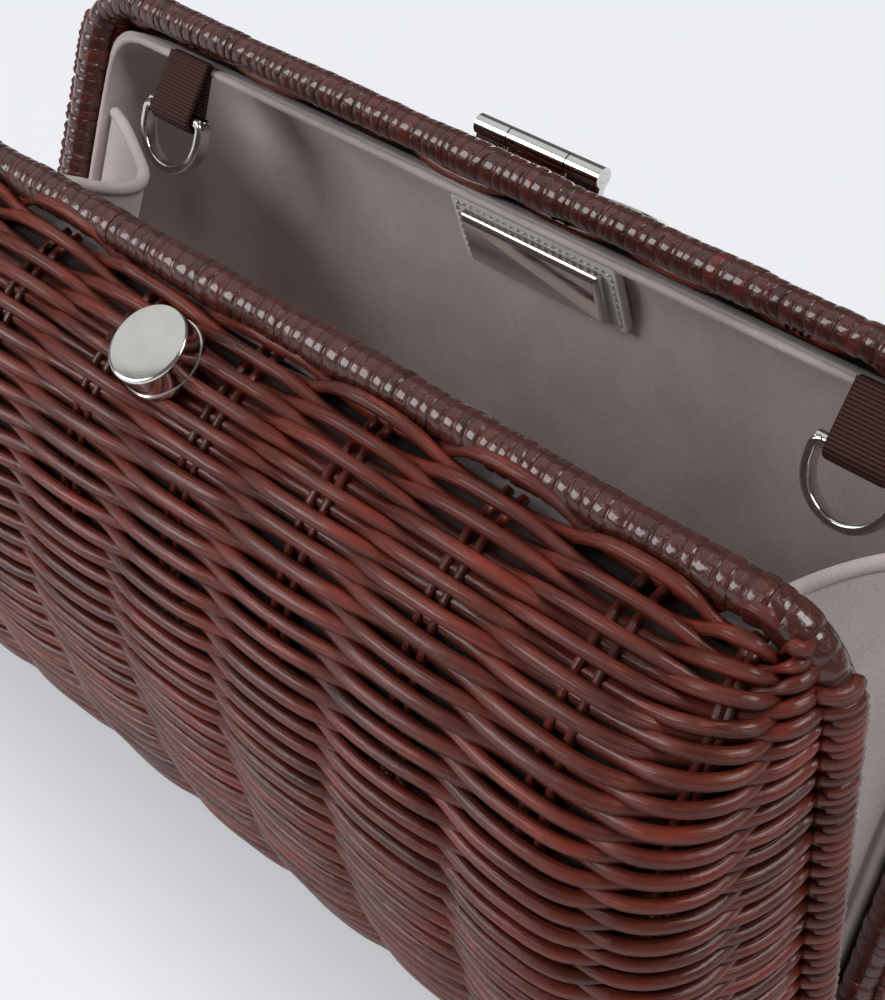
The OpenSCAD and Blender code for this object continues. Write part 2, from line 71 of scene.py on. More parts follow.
backward = Vector((math.sin(camera_azimuth) * math.cos(camera_elevation),
                   -math.cos(camera_azimuth) * math.cos(camera_elevation),
                   math.sin(camera_elevation)))
level = Vector((math.cos(camera_azimuth), math.sin(camera_azimuth), 0))
upright = level.cross(-backward)
right = level * math.cos(camera_roll) + upright * math.sin(camera_roll)
up = upright * math.cos(camera_roll) - level * math.sin(camera_roll)
camera = bpy.data.objects.new("camera", bpy.data.cameras.new("camera"))
camera.data.sensor_fit = "VERTICAL"
camera.data.sensor_height = sensor
camera.data.lens = focal_in_heights * sensor
camera.data.clip_start = 0.01
camera.matrix_world = Matrix((
    (right.x, up.x, backward.x, camera_at.x),
    (right.y, up.y, backward.y, camera_at.y),
    (right.z, up.z, backward.z, camera_at.z),
    (0, 0, 0, 1)))
scene.collection.objects.link(camera)
scene.camera = camera


# A pale sweep of studio paper in a dim white tent, lit by a large softbox at the front left, a
# weak one over the left that the knob mirrors, and one high on the right. For camera and glossy
# rays the paper glows evenly, and that glow is darkened by ambient occlusion near the bag: a
# painted contact shadow.
paper_colour = (0.855, 0.871, 0.905, 1)
paper_glow = 0.94
painted_shadow_reach = 0.034
painted_shadow_tone = 0.5
tent_light = 0.14
paper_reach = 4
lamp_aim = Vector((0, 0, 0.05))
softboxes = (
    ("front_softbox", (-0.60, -0.80, 0.56), 0.52, 6.2),
    ("left_softbox", (-0.56, -0.03, 0.92), 0.9, 1.55),
    ("right_softbox", (0.50, 0.00, 0.95), 0.42, 5.2),
)


def add_node(tree, kind, inputs=None, **settings):
    made = tree.nodes.new(kind)
    for key, value in settings.items():
        setattr(made, key, value)
    for key, value in (inputs or {}).items():
        if isinstance(value, bpy.types.NodeSocket):
            tree.links.new(value, made.inputs[key])
        else:
            made.inputs[key].default_value = value
    return made


tent = bpy.data.worlds.new("tent")
scene.world = tent
tent.use_nodes = True
tent.node_tree.nodes["Background"].inputs["Color"].default_value = (0.98, 0.99, 1, 1)
tent.node_tree.nodes["Background"].inputs["Strength"].default_value = tent_light

for name, place, width, power in softboxes:
    lamp = bpy.data.objects.new(name, bpy.data.lights.new(name, "AREA"))
    lamp.data.size = width
    lamp.data.energy = power
    lamp.location = place
    lamp.rotation_euler = (lamp_aim - Vector(place)).to_track_quat("-Z", "Y").to_euler()
    scene.collection.objects.link(lamp)

paper_mesh = bpy.data.meshes.new("paper")
paper_corners = [(x * paper_reach, y * paper_reach, 0) for x, y in ((-1, -1), (1, -1), (1, 1), (-1, 1))]
paper_mesh.from_pydata(paper_corners, [], [(0, 1, 2, 3)])
paper = bpy.data.objects.new("paper", paper_mesh)
scene.collection.objects.link(paper)
paper_finish = bpy.data.materials.new("paper")
paper_finish.use_nodes = True
paper_tree = paper_finish.node_tree
paper_shader = paper_tree.nodes["Principled BSDF"]
paper_shader.inputs["Base Color"].default_value = paper_colour
paper_shader.inputs["Roughness"].default_value = 0.9
# The glow that the camera sees is darkened near the bag by ambient occlusion: a painted contact shadow.
near_bag = add_node(paper_tree, "ShaderNodeAmbientOcclusion", {"Distance": painted_shadow_reach}, samples=16)
painted_contact_shadow = add_node(paper_tree, "ShaderNodeMapRange",
                   {"Value": near_bag.outputs["AO"], "To Min": painted_shadow_tone})
glow = add_node(paper_tree, "ShaderNodeEmission", {"Color": paper_colour, "Strength": painted_contact_shadow.outputs[0]})
rays = add_node(paper_tree, "ShaderNodeLightPath").outputs
seen = add_node(paper_tree, "ShaderNodeMath",
                {0: rays["Is Camera Ray"], 1: rays["Is Glossy Ray"]}, operation="MAXIMUM")
seen = add_node(paper_tree, "ShaderNodeMath",
                {0: seen.outputs[0], 1: rays["Is Transmission Ray"]}, operation="MAXIMUM")
seen = add_node(paper_tree, "ShaderNodeMath", {0: seen.outputs[0], 1: paper_glow}, operation="MULTIPLY")
lit = add_node(paper_tree, "ShaderNodeMixShader",
               {0: seen.outputs[0], 1: paper_shader.outputs[0], 2: glow.outputs[0]})
paper_tree.links.new(lit.outputs[0], paper_tree.nodes["Material Output"].inputs["Surface"])
paper_mesh.materials.append(paper_finish)


# The two rims: a rod bent to a rounded rectangle and wound all the way round with glossy split
# cane. The turns are flat and uneven, and the rod under them is lumpy.
rim_l = 200 * MM
rim_h = 103.5 * MM
rim_r = 3.75 * MM
rim_corner = 10 * MM
rod_gap = 0.5 * MM
rod_pitch = 2 * rim_r + rod_gap
wrap_width = 2.0 * MM
wrap_drop = 0.6 * MM
wrap_groove = 0.16 * MM
wrap_sides = 18
lump_count = 75
rubbed_tone = (0.30, 0.075, 0.026, 1)
chance = np.random.default_rng(41)


def tilt_of(rim_node):
    low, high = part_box(rim_node)
    return math.acos((high.z - low.z - 2 * rim_r) / rim_h)


back_tilt = tilt_of("back_rim")
front_tilt = tilt_of("front_rim")


def stand_back(points):
    """Points given as length, depth and height on the back half, where that half stands."""
    x, d, h = np.moveaxis(np.asarray(points, float), -1, 0)
    c, s = math.cos(back_tilt), math.sin(back_tilt)
    return np.stack([x, hinge_at[1] + d * c + h * s, hinge_at[2] - d * s + h * c], -1)


def stand_front(points):
    """The same for the front half, whose bottom rod lies in front of the back one's."""
    x, d, h = np.moveaxis(np.asarray(points, float), -1, 0)
    y = -rod_pitch - d
    c, s = math.cos(front_tilt), math.sin(front_tilt)
    return np.stack([x, hinge_at[1] + y * c - h * s, hinge_at[2] + y * s + h * c], -1)


halves = (("back", stand_back), ("front", stand_front))


def ring_quads(rings, sides, loop=False, first=0, count=1):
    """Quads of count tubes of rings by sides points each, laid one after another."""
    i = np.arange(rings if loop else rings - 1)
    j = np.arange(sides)
    a = (i[:, None] * sides + j).ravel()
    b = (i[:, None] * sides + (j + 1) % sides).ravel()
    n = (((i + 1) % rings)[:, None] * sides + (j + 1) % sides).ravel()
    m = (((i + 1) % rings)[:, None] * sides + j).ravel()
    one = np.stack([a, b, n, m], 1)
    return first + (one[None] + (np.arange(count) * rings * sides)[:, None, None]).reshape(-1, 4)


def make_piece(name, points, faces, finishes, body=None, replaces=(), second=0, grain=None,
               crease=None):
    """A smooth mesh piece. The last `second` faces take the second finish, and grain is a vector
    kept at every point: distance along the strand, the strand's own number, and place round it."""
    mesh = bpy.data.meshes.new(name)
    mesh.from_pydata(np.asarray(points).reshape(-1, 3).tolist(), [], faces)
    for finish in finishes:
        mesh.materials.append(finish)
    mesh.polygons.foreach_set("use_smooth", [True] * len(mesh.polygons))
    if second:
        mesh.polygons.foreach_set("material_index", [0] * (len(faces) - second) + [1] * second)
    if grain is not None:
        mesh.attributes.new("grain", "FLOAT_VECTOR", "POINT").data.foreach_set(
            "vector", np.asarray(grain, np.float32).ravel())
    shell = bmesh.new()
    shell.from_mesh(mesh)
    bmesh.ops.recalc_face_normals(shell, faces=shell.faces)
    shell.to_mesh(mesh)
    shell.free()
    if crease:
        mesh.set_sharp_from_angle(angle=math.radians(crease))
    made = bpy.data.objects.new(name, mesh)
    scene.collection.objects.link(made)
    if body:
        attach(made, body)
    if replaces:
        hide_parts(*replaces)
    return made


def lacquered_cane(name, tones, run_scale, streak, roughness, ripple, coat):
    """Dyed cane under a clear lacquer: the dye takes unevenly along each cane, so its tone drifts
    from nearly black to red, with short orange streaks where it is rubbed."""
    finish = bpy.data.materials.new(name)
    finish.use_nodes = True
    tree = finish.node_tree
    shader = tree.nodes["Principled BSDF"]
    grain = add_node(tree, "ShaderNodeAttribute", attribute_name="grain").outputs["Vector"]
    drift = add_node(tree, "ShaderNodeVectorMath",
                     {0: grain, 1: (run_scale, 9.7, 0.15)}, operation="MULTIPLY")
    dye = add_node(tree, "ShaderNodeTexNoise",
                   {"Vector": drift.outputs[0], "Scale": 1.0, "Detail": 3.0, "Roughness": 0.6})
    tone = add_node(tree, "ShaderNodeValToRGB", {"Fac": dye.outputs["Fac"]})
    ramp = tone.color_ramp
    while len(ramp.elements) < len(tones):
        ramp.elements.new(0.5)
    for element, (place, colour) in zip(ramp.elements, tones):
        element.position = place
        element.color = (*colour, 1)
    rub = add_node(tree, "ShaderNodeVectorMath",
                   {0: grain, 1: (run_scale * 2.3, 31.3, 1.3)}, operation="MULTIPLY")
    rubbed = add_node(tree, "ShaderNodeTexNoise", {"Vector": rub.outputs[0], "Scale": 1.0, "Detail": 2.0})
    rubbed = add_node(tree, "ShaderNodeMapRange", {"Value": rubbed.outputs["Fac"], "From Min": streak,
                                                   "From Max": streak + 0.12, "To Max": 0.85})
    colour = add_node(tree, "ShaderNodeMix", data_type="RGBA")
    tree.links.new(rubbed.outputs[0], colour.inputs["Factor"])
    tree.links.new(tone.outputs[0], colour.inputs[6])
    colour.inputs[7].default_value = rubbed_tone
    tree.links.new(colour.outputs[2], shader.inputs["Base Color"])
    fibre = add_node(tree, "ShaderNodeVectorMath",
                     {0: grain, 1: (run_scale * 3, 5.1, 4.0)}, operation="MULTIPLY")
    fibres = add_node(tree, "ShaderNodeTexNoise", {"Vector": fibre.outputs[0], "Scale": 1.0, "Detail": 4.0})
    place = add_node(tree, "ShaderNodeTexCoord").outputs["Object"]
    runs = add_node(tree, "ShaderNodeTexNoise", {"Vector": place, "Scale": 900.0, "Detail": 2.0})
    height = add_node(tree, "ShaderNodeMath", {0: runs.outputs["Fac"], 1: ripple, 2: fibres.outputs["Fac"]},
                      operation="MULTIPLY_ADD")
    raised = add_node(tree, "ShaderNodeBump",
                      {"Height": height.outputs[0], "Strength": 0.5, "Distance": 0.0003})
    tree.links.new(raised.outputs[0], shader.inputs["Normal"])
    dull = add_node(tree, "ShaderNodeMapRange", {"Value": fibres.outputs["Fac"], "To Min": roughness - 0.08,
                                                 "To Max": roughness + 0.14})
    tree.links.new(dull.outputs[0], shader.inputs["Roughness"])
    shader.inputs["Specular IOR Level"].default_value = 0.32
    shader.inputs["Coat Weight"].default_value = coat
    shader.inputs["Coat Roughness"].default_value = 0.09
    return finish


wrap_finish = lacquered_cane(
    "wrapped_cane",
    ((0.28, (0.030, 0.0085, 0.006)), (0.45, (0.066, 0.0155, 0.0105)), (0.6, (0.086, 0.020, 0.014)),
     (0.76, (0.16, 0.020, 0.012))),
    run_scale=0.05, streak=0.76, roughness=0.24, ripple=2.2, coat=0.7)


def rim_line(run):
    """Points (length, height) and outward directions of the rim's centreline, a given way round."""
    flat_x = rim_l - 2 * rim_corner
    flat_h = rim_h - 2 * rim_corner
    turn = rim_corner * math.pi / 2
    legs = ((flat_x, (-flat_x / 2, rim_h), (1, 0)), (flat_h, (rim_l / 2, rim_h - rim_corner), (0, -1)),
            (flat_x, (flat_x / 2, 0), (-1, 0)), (flat_h, (-rim_l / 2, rim_corner), (0, 1)))
    at = np.zeros((len(run), 2))
    away = np.zeros((len(run), 2))
    start = 0.0
    for length, begin, heading in legs:
        begin, heading = np.array(begin), np.array(heading, float)
        side = np.array([-heading[1], heading[0]])
        on = (run >= start) & (run < start + length)
        at[on] = begin + heading * (run[on] - start)[:, None]
        away[on] = side
        start += length
        bend = (run >= start) & (run < start + turn)
        angle = ((run[bend] - start) / rim_corner)[:, None]
        centre = begin + heading * length - side * rim_corner
        away[bend] = side * np.cos(angle) + heading * np.sin(angle)
        at[bend] = centre + away[bend] * rim_corner
        start += turn
    return at, away


rim_run = 2 * (rim_l + rim_h) - 8 * rim_corner + 2 * math.pi * rim_corner
wrap_shape = ((0.015, -1.0), (0.1, -0.3), (0.3, 0.0), (0.7, 0.0), (0.9, -0.3), (0.985, -1.0))
for half, stand in halves:
    wraps = int(rim_run / wrap_width)
    widths = chance.normal(1.0, 0.22, wraps).clip(0.5, 1.7)
    widths *= rim_run / widths.sum()
    starts = np.concatenate([[0], np.cumsum(widths)[:-1]])
    run = (starts[:, None] + widths[:, None] * np.array([share for share, _ in wrap_shape])).ravel()
    swell = chance.normal(0, 0.06 * MM, wraps).clip(-0.15 * MM, 0.06 * MM)
    lumps = np.interp(starts, np.linspace(0, rim_run, lump_count),
                      chance.uniform(-0.4, 0.05, lump_count) * MM)
    groove = wrap_groove * np.array([dip for _, dip in wrap_shape])
    radius = (rim_r - wrap_drop + (swell + lumps)[:, None] + groove).ravel()
    lean = np.repeat(chance.normal(0.35 * MM, 0.25 * MM, wraps), len(wrap_shape))
    lean_to = np.repeat(chance.normal(0.6, 0.7, wraps), len(wrap_shape))
    at, away = rim_line(run)
    heading = np.stack([away[:, 1], -away[:, 0]], 1)
    around = np.linspace(0, 2 * math.pi, wrap_sides, endpoint=False)
    along = lean[:, None] * np.sin(around + lean_to[:, None])
    flat = (at[:, None] + away[:, None] * (radius[:, None] * np.cos(around))[..., None]
            + heading[:, None] * along[..., None])
    depth = radius[:, None] * np.sin(around)
    points = stand(np.stack([flat[..., 0], depth, flat[..., 1]], -1))
    number = np.repeat(chance.uniform(0, 60, wraps), len(wrap_shape))
    grain = np.stack([np.broadcast_to(around * rim_r / MM, depth.shape),
                      np.broadcast_to(number[:, None], depth.shape),
                      np.broadcast_to((run / MM)[:, None], depth.shape)], -1)
    faces = ring_quads(len(run), wrap_sides, loop=True).tolist()
    make_piece(half + "_rim_wrap", points, faces, [wrap_finish],
               half + "_half", [half + "_rim"], grain=grain)


# The wicker of each half: rows of round cane woven over pairs of stakes, each row going out over
# the stakes that its neighbours go behind, and looping round the rim at the ends. The bottom is
# rounder than the solid's, as the real bag's is.
shell_depth = 31 * MM
belly_h = 50 * MM
crown = rim_h - 2 * MM
sole_h = -2 * MM
belly_wall = 1 * MM
sole_r = 20 * MM
shoulder_n = 2.4
weave_edge = 0.55 * rim_r
end_edge = rim_r - 0.8 * MM
rod_room = 5.13 * MM
stake_pitch = 22 * MM
straight = 3.5 * stake_pitch
end_stakes = 2
corner_bow = 0.8
weave_count = 70
cane_r = 1.08 * MM
cane_sides = 7
weave_level = -0.9 * MM
row_pitch = 1.87 * MM
loop_turn = math.radians(115)
loop_lift = 1.0 * MM
weave_swing = 1.3 * MM
top_arch = 2.6 * MM
arch_rows = 2.2
hasp_room = 14 * MM
stake_r = 0.75 * MM
stake_apart = 1.25 * MM
stake_level = -1.45 * MM
shade_sheet_level = -2.5 * MM
corner_steps = 24
loop_steps = 9
front_step = 1.8 * MM
rod_clear = 0.55 * rim_corner
loop_fade = 0.35
wave_square = 1.15
row_wander = 0.45 * MM
row_sag = 0.13
sag_points = 9
loose_row = 4


def half_section(depth, top, foot, r, edge_hi, edge_lo, rows, rise=0.0):
    """A half's section as (depth, height), from under the top rim over the shoulder, round in an
    ellipse to the bottom and along to the bottom rod, cut into equal rows."""
    turn = np.linspace(0, math.pi / 2, 60)
    d = edge_hi + (depth - edge_hi) * np.sin(turn)
    h = belly_h + (top - belly_h) * (1 - np.clip(d / depth, 0, 1) ** shoulder_n) ** (1 / shoulder_n)
    d = np.concatenate([d, depth - r + r * np.cos(turn[::2]), [edge_lo]])
    h = np.concatenate([h, foot + (belly_h - belly_wall - foot) * (1 - np.sin(turn[::2])), [foot + rise]])
    run = np.concatenate([[0], np.cumsum(np.hypot(np.diff(d), np.diff(h)))])
    cuts = np.linspace(0, run[-1], rows + 1)
    return np.stack([np.interp(cuts, run, d), np.interp(cuts, run, h)], 1)


def reach_at(h, reach, corner, foot, top):
    """Half the length that a rounded outline has at a height."""
    over = np.clip(np.maximum(h - (top - corner), foot + corner - h), 0, corner)
    return reach - corner + np.sqrt(corner ** 2 - over ** 2)


def spread(section, columns, end, flat, edge):
    """The section's rows spread along the half. A column is a share of the straight front, from
    -1 to 1, and goes beyond it round the end corner, which ends at a share of 2."""
    d, h = section[:, :1], section[:, 1:]
    share = np.clip(np.abs(columns), 0, 1)[None]
    turn = (2 - np.clip(np.abs(columns), 1, 2))[None] * math.pi / 2
    near = np.minimum(edge, d)
    x = np.sign(columns)[None] * (share * flat + (end - flat) * np.cos(turn).clip(0) ** corner_bow
                                  * (np.abs(columns) > 1))
    y = near + (d - near) * np.sin(turn) ** corner_bow
    return np.stack([x, y, np.broadcast_to(h, x.shape)], -1)


weave_rows = half_section(shell_depth, crown, sole_h, sole_r, weave_edge, rod_room, weave_count)
weave_end = np.maximum(reach_at(weave_rows[:, 1:], rim_l / 2, rim_corner, 0.0, rim_h), straight + 2 * MM)
beside_rod = (weave_rows[:, 1:] > rod_clear) & (weave_rows[:, 1:] < rim_h - rod_clear)
loop_r = np.where(beside_rod, end_edge, 0.1 * rim_r)
corner_columns = 1 + np.linspace(0, 1, corner_steps + 1)[1:]
front_columns = np.linspace(-1, 1, 2 * int(straight / front_step) + 1)
loop_columns = 2 + np.linspace(0, 1, loop_steps + 1)[1:]
columns = np.concatenate([corner_columns, loop_columns])
columns = np.concatenate([-columns[::-1], front_columns, columns])


def weave_surface(at):
    """The weave's middle surface. From a share of 2 to 3, a row loops round the rim's end rod."""
    surface = spread(weave_rows, at, weave_end, straight, end_edge)
    angle = math.pi / 2 - (np.abs(at) - 2).clip(0)[None] * loop_turn
    x = np.sign(at)[None] * (weave_end + loop_r * np.cos(angle))
    loop = np.stack([x, loop_r * np.sin(angle), surface[..., 2]], -1)
    return np.where((np.abs(at) > 2)[None, :, None], loop, surface)


middle = weave_surface(columns)
over_row = np.gradient(middle, axis=0)
outward = np.cross(np.gradient(middle, axis=1), over_row)
outward /= np.maximum(np.linalg.norm(outward, axis=-1, keepdims=True), 1e-9)
outward *= np.sign(np.sum(outward * (middle - [0, 0, belly_h]), -1, keepdims=True))
phase = np.where(np.abs(columns) <= 1, columns * straight,
                 np.sign(columns) * (straight + (np.abs(columns).clip(1, 2) - 1) * end_stakes * stake_pitch))
looped = ((np.abs(columns) - 2) / loop_fade).clip(0, 1)[None]

weave_finish = lacquered_cane(
    "woven_cane",
    ((0.24, (0.042, 0.0098, 0.0062)), (0.42, (0.100, 0.019, 0.0112)), (0.56, (0.148, 0.0255, 0.0148)),
     (0.72, (0.24, 0.029, 0.015))),
    run_scale=0.055, streak=0.66, roughness=0.24, ripple=0.5, coat=0.2)


def speckled(name, dark, light, scale, detail, roughness, metallic=0.0):
    """A plain finish whose tone varies finely between two colours."""
    finish = bpy.data.materials.new(name)
    finish.use_nodes = True
    tree = finish.node_tree
    shader = tree.nodes["Principled BSDF"]
    speck = add_node(tree, "ShaderNodeTexNoise", {"Scale": scale, "Detail": detail})
    tone = add_node(tree, "ShaderNodeValToRGB", {"Fac": speck.outputs["Fac"]})
    tone.color_ramp.elements[0].color = (*dark, 1)
    tone.color_ramp.elements[1].color = (*light, 1)
    tree.links.new(tone.outputs[0], shader.inputs["Base Color"])
    shader.inputs["Roughness"].default_value = roughness
    shader.inputs["Metallic"].default_value = metallic
    return finish


# A nearly black sheet just behind the weave, so that the gaps between the canes look dark: painted shade.
shade_sheet_finish = speckled("painted_shade_sheet", (0.006, 0.003, 0.002), (0.020, 0.009, 0.007), 400.0, 3.0, 0.85)

for half, stand in halves:
    rows, cols = middle.shape[:2]
    row = np.arange(rows)
    flip = np.where(row % 2 == 0, 1, -1)[:, None]
    wander = chance.normal(0, row_wander, rows)[:, None]
    wave = np.sin(math.pi * (phase[None] + wander) / stake_pitch)
    wave = flip * np.tanh(wave_square * wave) / math.tanh(wave_square) * (1 - looped)
    sag = chance.normal(0, row_sag, (rows, sag_points))
    sag_at = np.linspace(phase[0], phase[-1], sag_points)
    sag = np.stack([np.interp(phase, sag_at, one) for one in sag])
    loose = np.exp(-((row - loose_row) / loose_row) ** 2)
    swing = weave_swing * (1 + chance.normal(0, 0.07, rows) + 0.35 * loose)
    swing = (swing * np.where(row > rows - 3, 0.4, 1))[:, None]
    arch = top_arch * np.exp(-(row / arch_rows) ** 2)[:, None] * (0.3 + 0.7 * wave.clip(0)) * (1 - looped)
    arch *= np.clip((np.abs(middle[..., 0]) - hasp_room) / (10 * MM), 0, 1)
    level = weave_level + loop_lift * looped * beside_rod + swing * wave + arch
    centre = middle + outward * level[..., None] + over_row * sag[..., None]
    line = np.gradient(centre, axis=1)
    line /= np.maximum(np.linalg.norm(line, axis=-1, keepdims=True), 1e-9)
    across = np.cross(line, outward)
    around = np.linspace(0, 2 * math.pi, cane_sides, endpoint=False)
    thick = cane_r * (1 + chance.normal(0, 0.05, rows))[:, None, None, None]
    cane = centre[:, :, None] + thick * (np.cos(around)[:, None] * outward[:, :, None]
                                         + np.sin(around)[:, None] * across[:, :, None])
    number = chance.uniform(0, 300, rows)
    grain = np.stack(np.broadcast_arrays((phase / MM)[None, :, None], number[:, None, None],
                                         (around * cane_r / MM)[None, None]), -1).reshape(-1, 3)
    faces = ring_quads(cols, cane_sides, count=rows).tolist()
    for first in row * cols * cane_sides:
        last = first + (cols - 1) * cane_sides
        faces.append(list(range(first, first + cane_sides)))
        faces.append(list(range(last, last + cane_sides)))
    points = [cane.reshape(-1, 3)]
    grains = [grain]
    count = len(points[0])
    stakes = [s * stake_pitch for s in (0.5, 1.5, 2.5)] + [straight, straight + stake_pitch]
    for stake in [-s for s in stakes] + stakes:
        for apart in (-stake_apart, stake_apart):
            place = abs(stake) + apart
            column = place / straight
            if place > straight:
                column = 1 + (place - straight) / (end_stakes * stake_pitch)
            column = np.array([math.copysign(column, stake)])
            face = outward[:, int(np.abs(columns - column[0]).argmin())]
            core = weave_surface(column)[:, 0] + face * stake_level
            lift = np.gradient(core, axis=0)
            lift /= np.maximum(np.linalg.norm(lift, axis=-1, keepdims=True), 1e-9)
            side = np.cross(lift, face)
            rod = core[:, None] + stake_r * (np.cos(around)[:, None] * face[:, None]
                                             + np.sin(around)[:, None] * side[:, None])
            points.append(rod.reshape(-1, 3))
            number = np.float64(chance.uniform(300, 400))
            grains.append(np.stack(np.broadcast_arrays((row * row_pitch / MM)[:, None], number,
                                                       (around * stake_r / MM)[None]), -1).reshape(-1, 3))
            faces += ring_quads(rows, cane_sides, first=count).tolist()
            count += rod.shape[0] * rod.shape[1]
    # The dark sheet behind the rows stands in for the shade in the weave's gaps: painted shade.
    shade_sheet = (middle + outward * shade_sheet_level)[:, np.abs(columns) <= 2][:, ::3]
    points.append(shade_sheet.reshape(-1, 3))
    grains.append(np.zeros((shade_sheet.shape[0] * shade_sheet.shape[1], 3)))
    i, j = np.meshgrid(np.arange(rows - 1), np.arange(shade_sheet.shape[1] - 1), indexing="ij")
    a = count + (i * shade_sheet.shape[1] + j).ravel()
    shade_sheet_faces = np.stack([a, a + 1, a + 1 + shade_sheet.shape[1], a + shade_sheet.shape[1]], 1).tolist()
    make_piece(half + "_weave", stand(np.concatenate(points)), faces + shade_sheet_faces,
               [weave_finish, shade_sheet_finish], half + "_half", [half + "_wicker"],
               second=len(shade_sheet_faces), grain=np.concatenate(grains))


# The bindings: split cane wound round both bottom rods in four places, which is the bag's hinge.
# They are fast on the front rod.
binding_pitch = 44 * MM
binding_r = rim_r + 0.08 * MM
binding_t = 1.0 * MM
binding_turns = 4
binding_turn_w = 2.25 * MM
binding_count = 4
binding_lean = 0.3 * MM
binding_steps = 17
binding_sides = 10


def sweep(path, across, rise, section):
    """Points of a section (across, rise) carried along a path."""
    return (np.asarray(path)[:, None] + np.asarray(across)[:, None] * section[None, :, :1]
            + np.asarray(rise)[:, None] * section[None, :, 1:])


def oval(width, height, sides):
    a = np.linspace(0, 2 * math.pi, sides, endpoint=False)
    return np.stack([width / 2 * np.cos(a), height / 2 * np.sin(a)], 1)


half_turn = np.linspace(-math.pi / 2, math.pi / 2, binding_steps)
loop_points = 2 * binding_steps
binding_mid = binding_r + binding_t / 2
rise_d = np.concatenate([np.cos(half_turn), -np.cos(half_turn)])
rise_h = np.concatenate([np.sin(half_turn), -np.sin(half_turn)])
outline_d = rise_d * binding_mid - np.repeat([0, rod_pitch], binding_steps)
outline_h = rise_h * binding_mid
lean = np.linspace(0, binding_lean, binding_steps)
lean = np.concatenate([lean, lean[::-1]])
rise = np.stack([0 * rise_d, rise_d, rise_h], 1)
lengthwise = np.tile([1.0, 0, 0], (loop_points, 1))
binding_edge = oval(binding_turn_w * 0.97, binding_t, binding_sides)
points, faces, grains = [], [], []
for binding in range(binding_count):
    for turn in range(binding_turns):
        x = (binding - (binding_count - 1) / 2) * binding_pitch
        x += (turn - (binding_turns - 1) / 2) * binding_turn_w
        band = sweep(np.stack([x + lean, outline_d, outline_h], 1), lengthwise, rise, binding_edge)
        first = len(points) * loop_points * binding_sides
        faces += ring_quads(loop_points, binding_sides, loop=True, first=first).tolist()
        points.append(band.reshape(-1, 3))
        number = chance.uniform(0, 60)
        grains.append(np.stack(np.broadcast_arrays(np.arange(float(loop_points))[:, None], number,
                                                   np.arange(float(binding_sides))[None]), -1).reshape(-1, 3))
make_piece("binding_wraps", stand_front(np.concatenate(points)), faces, [wrap_finish],
           "front_half", ["hinge_bindings"], grain=np.concatenate(grains))


# The linings: a stiff tray in each half, covered in warm grey suede that is turned over a soft
# roll at the lip, just inside the rim.
lining_depth = shell_depth - 3.2 * MM
lining_top = crown - 3.2 * MM
lining_foot = 5.43 * MM
lining_l = rim_l / 2 - rim_r - 0.4 * MM
lining_corner = 19 * MM
lining_t = 1.6 * MM
lining_corner_r = rim_corner - rim_r
lip_r = 0.75 * MM
lip_points = 400
lip_sides = 12
lining_rise = 0.8 * MM
lining_rows = 63


def suede(name, dark, light, nap):
    """Brushed suede: a fine nap, broad patches where it has been stroked the other way, and a
    soft sheen at the edges."""
    finish = bpy.data.materials.new(name)
    finish.use_nodes = True
    tree = finish.node_tree
    shader = tree.nodes["Principled BSDF"]
    place = add_node(tree, "ShaderNodeTexCoord").outputs["Object"]
    stroked = add_node(tree, "ShaderNodeTexNoise",
                       {"Vector": place, "Scale": 38.0, "Detail": 5.0, "Roughness": 0.65})
    naps = add_node(tree, "ShaderNodeTexNoise",
                    {"Vector": place, "Scale": 2600.0, "Detail": 3.0, "Roughness": 0.7})
    mixed = add_node(tree, "ShaderNodeMath", {0: naps.outputs["Fac"], 1: nap}, operation="MULTIPLY")
    mixed = add_node(tree, "ShaderNodeMath", {0: stroked.outputs["Fac"], 1: 1 - nap, 2: mixed.outputs[0]},
                     operation="MULTIPLY_ADD")
    tone = add_node(tree, "ShaderNodeValToRGB", {"Fac": mixed.outputs[0]})
    tone.color_ramp.elements[0].position = 0.36
    tone.color_ramp.elements[0].color = (*dark, 1)
    tone.color_ramp.elements[1].position = 0.64
    tone.color_ramp.elements[1].color = (*light, 1)
    tree.links.new(tone.outputs[0], shader.inputs["Base Color"])
    raised = add_node(tree, "ShaderNodeBump",
                      {"Height": naps.outputs["Fac"], "Strength": 0.4, "Distance": 0.0002})
    tree.links.new(raised.outputs[0], shader.inputs["Normal"])
    shader.inputs["Roughness"].default_value = 0.9
    shader.inputs["Sheen Weight"].default_value = 0.35
    shader.inputs["Sheen Roughness"].default_value = 0.45
    shader.inputs["Sheen Tint"].default_value = (0.95, 0.92, 0.9, 1)
    shader.inputs["Specular IOR Level"].default_value = 0.2
    return finish


lining_finish = suede("suede", (0.46, 0.395, 0.38), (0.65, 0.565, 0.546), 0.4)
# A slightly darker copy of the lining suede, for the lip roll under the rim and the gussets' hems: painted
# shade.
lip_painted_shade_finish = suede("suede_lip_painted_shade", (0.42, 0.358, 0.342), (0.62, 0.535, 0.515), 0.4)


def lining_net(inset, rows, cols):
    section = half_section(lining_depth - inset, lining_top - inset, lining_foot + inset,
                           lining_depth - inset - shell_depth + sole_r, 0.0, 0.0, rows, lining_rise)
    end = reach_at(section[:, 1:], lining_l - inset, lining_corner_r, lining_foot + inset, lining_top - inset)
    return spread(section, cols, end, lining_l - lining_corner, 0.0)


def grid_quads(rows, cols, first=0):
    i, j = np.meshgrid(np.arange(rows - 1), np.arange(cols - 1), indexing="ij")
    a = first + (i * cols + j).ravel()
    return np.stack([a, a + 1, a + 1 + cols, a + cols], 1)


def border(rows, cols, first=0):
    """The points round the edge of a grid, in order."""
    ids = first + np.arange(rows * cols).reshape(rows, cols)
    return np.concatenate([ids[0, :-1], ids[:-1, -1], ids[-1, :0:-1], ids[:0:-1, 0]])


